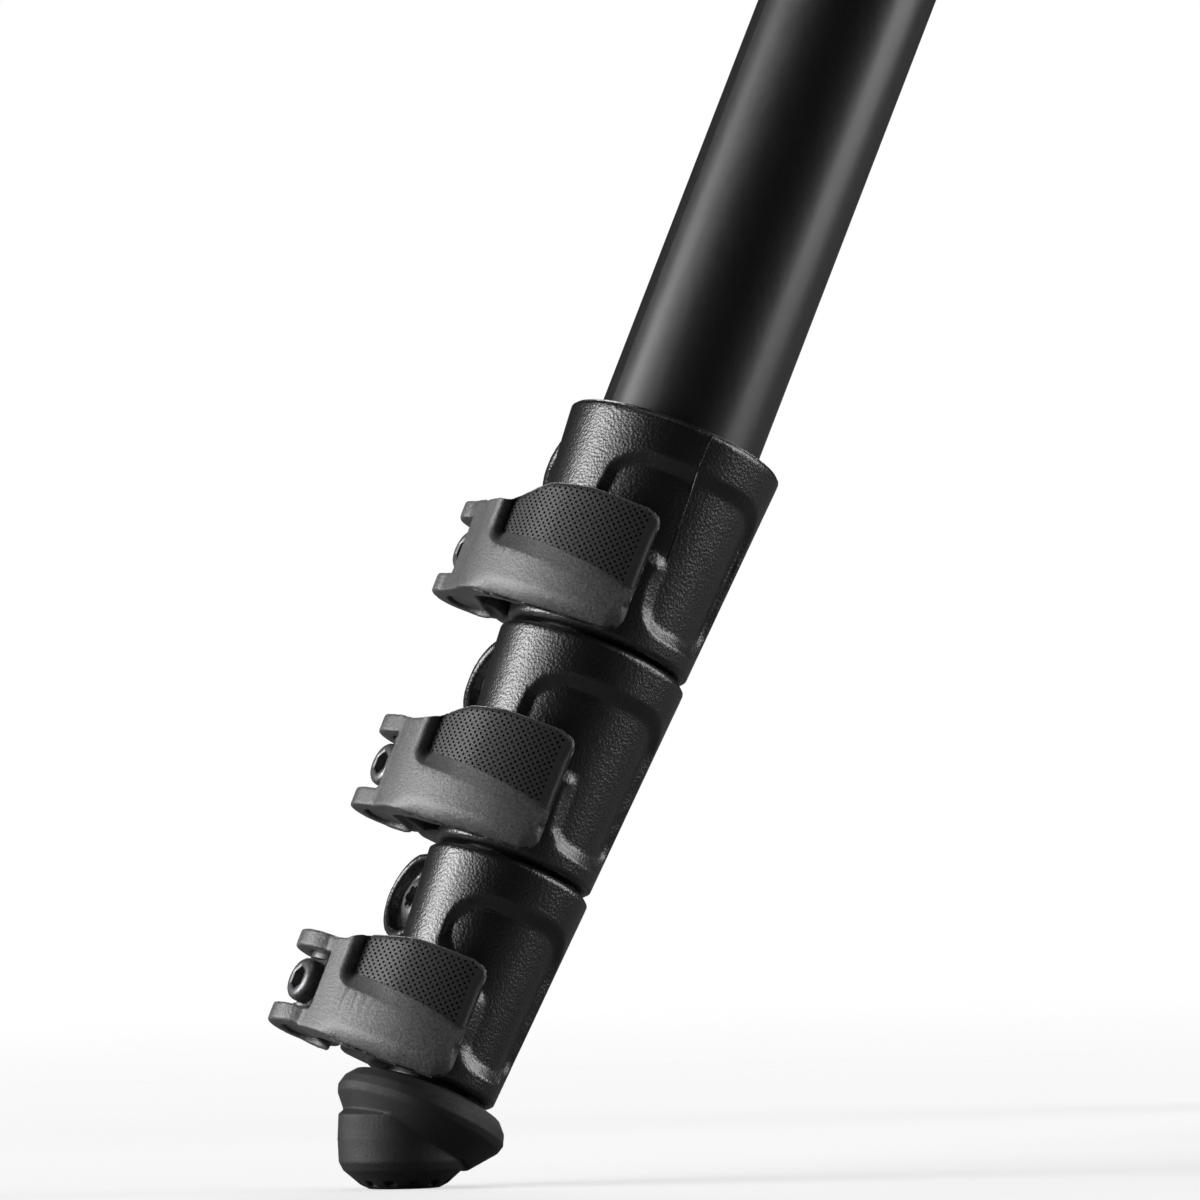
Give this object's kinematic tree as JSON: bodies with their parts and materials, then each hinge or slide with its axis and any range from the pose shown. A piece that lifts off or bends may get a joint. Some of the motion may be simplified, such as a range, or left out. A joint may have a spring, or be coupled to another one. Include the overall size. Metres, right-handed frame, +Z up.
{
  "type": "travel tripod",
  "caption": "Compact aluminium travel tripod: flip-lock telescoping legs on reverse-folding hinges, rubber feet, sliding centre column and threaded head plate; legs spread, sections retracted.",
  "frame": {"origin": "centre of the head seat, the top face of the head plate's pad, on the column axis", "axes": "+Z up along the centre column; the column lock knob points along -Y, one leg along +Y and the other two at 30 degrees below the X axis on either side"},
  "size_m": [0.3682, 0.3264, 0.3883],
  "materials": {
    "anodised_tube": "satin black anodised",
    "satin_anodised": "satin black anodised",
    "cast_paint": "fine wrinkle paint",
    "lever_plastic": "fine satin texture",
    "black_plastic": "matt",
    "black_steel": "black oxide",
    "bare_steel": "turned",
    "rubber": "matt"
  },
  "bodies": {
    "spider": {"spider": "cast_paint", "hinge_bolts": "black_steel", "column_bush": "black_plastic"},
    "column": {"column": "anodised_tube", "column_cap": "black_plastic", "head_plate": "satin_anodised", "head_pad": "rubber", "head_stud": "bare_steel", "set_screws": "black_steel"},
    "lock_knob": {"lock_knob": "rubber", "lock_screw": "black_steel"},
    "leg_a": {"leg_a_yoke": "cast_paint", "leg_a_upper_tube": "anodised_tube", "leg_a_collar_1": "cast_paint", "leg_a_screws_1": "black_steel"},
    "leg_a_latch": {"leg_a_angle_latch": "lever_plastic"},
    "leg_a_section_2": {"leg_a_second_tube": "anodised_tube", "leg_a_collar_2": "cast_paint", "leg_a_screws_2": "black_steel"},
    "leg_a_section_3": {"leg_a_third_tube": "anodised_tube", "leg_a_collar_3": "cast_paint", "leg_a_screws_3": "black_steel"},
    "leg_a_section_4": {"leg_a_fourth_tube": "anodised_tube", "leg_a_foot": "rubber"},
    "leg_a_lever_1": {"leg_a_lever_1": "lever_plastic"},
    "leg_a_lever_2": {"leg_a_lever_2": "lever_plastic"},
    "leg_a_lever_3": {"leg_a_lever_3": "lever_plastic"},
    "leg_b": {"leg_b_yoke": "cast_paint", "leg_b_upper_tube": "anodised_tube", "leg_b_collar_1": "cast_paint", "leg_b_screws_1": "black_steel"},
    "leg_b_latch": {"leg_b_angle_latch": "lever_plastic"},
    "leg_b_section_2": {"leg_b_second_tube": "anodised_tube", "leg_b_collar_2": "cast_paint", "leg_b_screws_2": "black_steel"},
    "leg_b_section_3": {"leg_b_third_tube": "anodised_tube", "leg_b_collar_3": "cast_paint", "leg_b_screws_3": "black_steel"},
    "leg_b_section_4": {"leg_b_fourth_tube": "anodised_tube", "leg_b_foot": "rubber"},
    "leg_b_lever_1": {"leg_b_lever_1": "lever_plastic"},
    "leg_b_lever_2": {"leg_b_lever_2": "lever_plastic"},
    "leg_b_lever_3": {"leg_b_lever_3": "lever_plastic"},
    "leg_c": {"leg_c_yoke": "cast_paint", "leg_c_upper_tube": "anodised_tube", "leg_c_collar_1": "cast_paint", "leg_c_screws_1": "black_steel"},
    "leg_c_latch": {"leg_c_angle_latch": "lever_plastic"},
    "leg_c_section_2": {"leg_c_second_tube": "anodised_tube", "leg_c_collar_2": "cast_paint", "leg_c_screws_2": "black_steel"},
    "leg_c_section_3": {"leg_c_third_tube": "anodised_tube", "leg_c_collar_3": "cast_paint", "leg_c_screws_3": "black_steel"},
    "leg_c_section_4": {"leg_c_fourth_tube": "anodised_tube", "leg_c_foot": "rubber"},
    "leg_c_lever_1": {"leg_c_lever_1": "lever_plastic"},
    "leg_c_lever_2": {"leg_c_lever_2": "lever_plastic"},
    "leg_c_lever_3": {"leg_c_lever_3": "lever_plastic"}
  },
  "joints": [
    {"name": "column_slide", "type": "slide", "parent": "spider", "child": "column", "axis": [0, 0, 1], "range_m": [0, 0.19]},
    {"name": "column_lock", "type": "hinge", "parent": "spider", "child": "lock_knob", "pos_m": [0, -0.03, -0.03], "axis": [0, -1, 0], "range_deg": [0, 180]},
    {"name": "leg_a_swing", "type": "hinge", "parent": "spider", "child": "leg_a", "pos_m": [-0.03118, -0.018, -0.03], "axis": [0.5, -0.866, 0], "range_deg": [-155, 25]},
    {"name": "leg_a_latch_pull", "type": "slide", "parent": "leg_a", "child": "leg_a_latch", "axis": [-0.7849, -0.4532, 0.4226], "range_m": [0, 0.004], "stiffness_N_per_m": 400},
    {"name": "leg_a_slide_1", "type": "slide", "parent": "leg_a", "child": "leg_a_section_2", "axis": [-0.366, -0.2113, -0.9063], "range_m": [0, 0.226]},
    {"name": "leg_a_slide_2", "type": "slide", "parent": "leg_a_section_2", "child": "leg_a_section_3", "axis": [-0.366, -0.2113, -0.9063], "range_m": [0, 0.254]},
    {"name": "leg_a_slide_3", "type": "slide", "parent": "leg_a_section_3", "child": "leg_a_section_4", "axis": [-0.366, -0.2113, -0.9063], "range_m": [0, 0.282]},
    {"name": "leg_a_lever_1_open", "type": "hinge", "parent": "leg_a", "child": "leg_a_lever_1", "pos_m": [-0.1572, -0.07448, -0.29149], "axis": [-0.366, -0.2113, -0.9063], "range_deg": [0, 130]},
    {"name": "leg_a_lever_2_open", "type": "hinge", "parent": "leg_a_section_2", "child": "leg_a_lever_2", "pos_m": [-0.1688, -0.08331, -0.32061], "axis": [-0.366, -0.2113, -0.9063], "range_deg": [0, 130]},
    {"name": "leg_a_lever_3_open", "type": "hinge", "parent": "leg_a_section_3", "child": "leg_a_lever_3", "pos_m": [-0.1804, -0.09214, -0.34972], "axis": [-0.366, -0.2113, -0.9063], "range_deg": [0, 130]},
    {"name": "leg_b_swing", "type": "hinge", "parent": "spider", "child": "leg_b", "pos_m": [0.03118, -0.018, -0.03], "axis": [0.5, 0.866, 0], "range_deg": [-155, 25]},
    {"name": "leg_b_latch_pull", "type": "slide", "parent": "leg_b", "child": "leg_b_latch", "axis": [0.7849, -0.4532, 0.4226], "range_m": [0, 0.004], "stiffness_N_per_m": 400},
    {"name": "leg_b_slide_1", "type": "slide", "parent": "leg_b", "child": "leg_b_section_2", "axis": [0.366, -0.2113, -0.9063], "range_m": [0, 0.226]},
    {"name": "leg_b_slide_2", "type": "slide", "parent": "leg_b_section_2", "child": "leg_b_section_3", "axis": [0.366, -0.2113, -0.9063], "range_m": [0, 0.254]},
    {"name": "leg_b_slide_3", "type": "slide", "parent": "leg_b_section_3", "child": "leg_b_section_4", "axis": [0.366, -0.2113, -0.9063], "range_m": [0, 0.282]},
    {"name": "leg_b_lever_1_open", "type": "hinge", "parent": "leg_b", "child": "leg_b_lever_1", "pos_m": [0.1431, -0.0989, -0.29149], "axis": [0.366, -0.2113, -0.9063], "range_deg": [0, 130]},
    {"name": "leg_b_lever_2_open", "type": "hinge", "parent": "leg_b_section_2", "child": "leg_b_lever_2", "pos_m": [0.15655, -0.10453, -0.32061], "axis": [0.366, -0.2113, -0.9063], "range_deg": [0, 130]},
    {"name": "leg_b_lever_3_open", "type": "hinge", "parent": "leg_b_section_3", "child": "leg_b_lever_3", "pos_m": [0.17, -0.11016, -0.34972], "axis": [0.366, -0.2113, -0.9063], "range_deg": [0, 130]},
    {"name": "leg_c_swing", "type": "hinge", "parent": "spider", "child": "leg_c", "pos_m": [0, 0.036, -0.03], "axis": [-1, 0, 0], "range_deg": [-155, 25]},
    {"name": "leg_c_latch_pull", "type": "slide", "parent": "leg_c", "child": "leg_c_latch", "axis": [0, 0.9063, 0.4226], "range_m": [0, 0.004], "stiffness_N_per_m": 400},
    {"name": "leg_c_slide_1", "type": "slide", "parent": "leg_c", "child": "leg_c_section_2", "axis": [0, 0.4226, -0.9063], "range_m": [0, 0.226]},
    {"name": "leg_c_slide_2", "type": "slide", "parent": "leg_c_section_2", "child": "leg_c_section_3", "axis": [0, 0.4226, -0.9063], "range_m": [0, 0.254]},
    {"name": "leg_c_slide_3", "type": "slide", "parent": "leg_c_section_3", "child": "leg_c_section_4", "axis": [0, 0.4226, -0.9063], "range_m": [0, 0.282]},
    {"name": "leg_c_lever_1_open", "type": "hinge", "parent": "leg_c", "child": "leg_c_lever_1", "pos_m": [0.0141, 0.17338, -0.29149], "axis": [0, 0.4226, -0.9063], "range_deg": [0, 130]},
    {"name": "leg_c_lever_2_open", "type": "hinge", "parent": "leg_c_section_2", "child": "leg_c_lever_2", "pos_m": [0.01225, 0.18784, -0.32061], "axis": [0, 0.4226, -0.9063], "range_deg": [0, 130]},
    {"name": "leg_c_lever_3_open", "type": "hinge", "parent": "leg_c_section_3", "child": "leg_c_lever_3", "pos_m": [0.0104, 0.2023, -0.34972], "axis": [0, 0.4226, -0.9063], "range_deg": [0, 130]}
  ]
}
